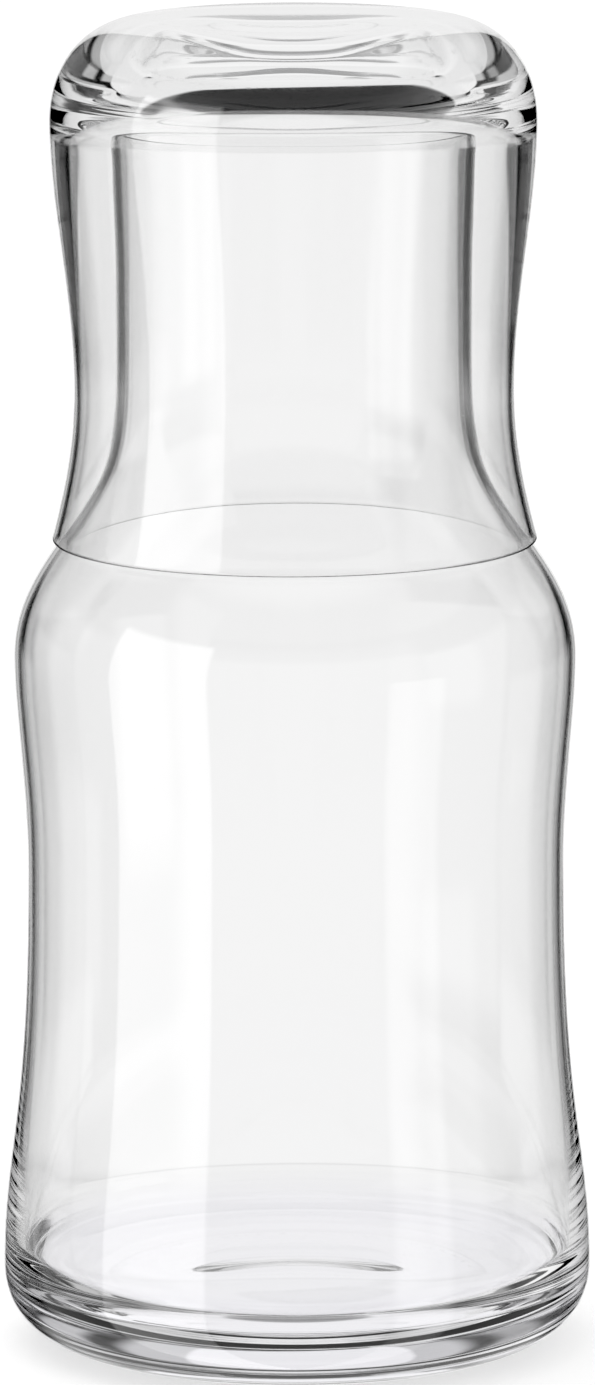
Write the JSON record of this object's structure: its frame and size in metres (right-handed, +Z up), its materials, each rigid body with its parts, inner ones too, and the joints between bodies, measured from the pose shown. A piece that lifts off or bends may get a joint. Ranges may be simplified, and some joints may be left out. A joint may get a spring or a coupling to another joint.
{
  "type": "bedside carafe with tumbler",
  "caption": "Clear glass water carafe with a drawn-in waist and an open neck, and a heavy-based tumbler stored upside down over the neck on the shoulder.",
  "frame": {"origin": "centre of the carafe's standing plane, on the axis that both pieces share", "axes": "+Z up along that axis, from the carafe's foot to the tumbler's foot; X and Y are free, because both pieces are round"},
  "size_m": [0.105, 0.105, 0.2371],
  "materials": {
    "carafe_glass": "clear, fire polished",
    "tumbler_glass": "clear, fire polished"
  },
  "bodies": {
    "carafe": {"carafe": "carafe_glass"},
    "tumbler": {"tumbler": "tumbler_glass"}
  },
  "joints": [
    {"name": "tumbler_lift", "type": "slide", "parent": "carafe", "child": "tumbler", "axis": [0, 0, 1], "range_m": [0, 0.1]}
  ]
}
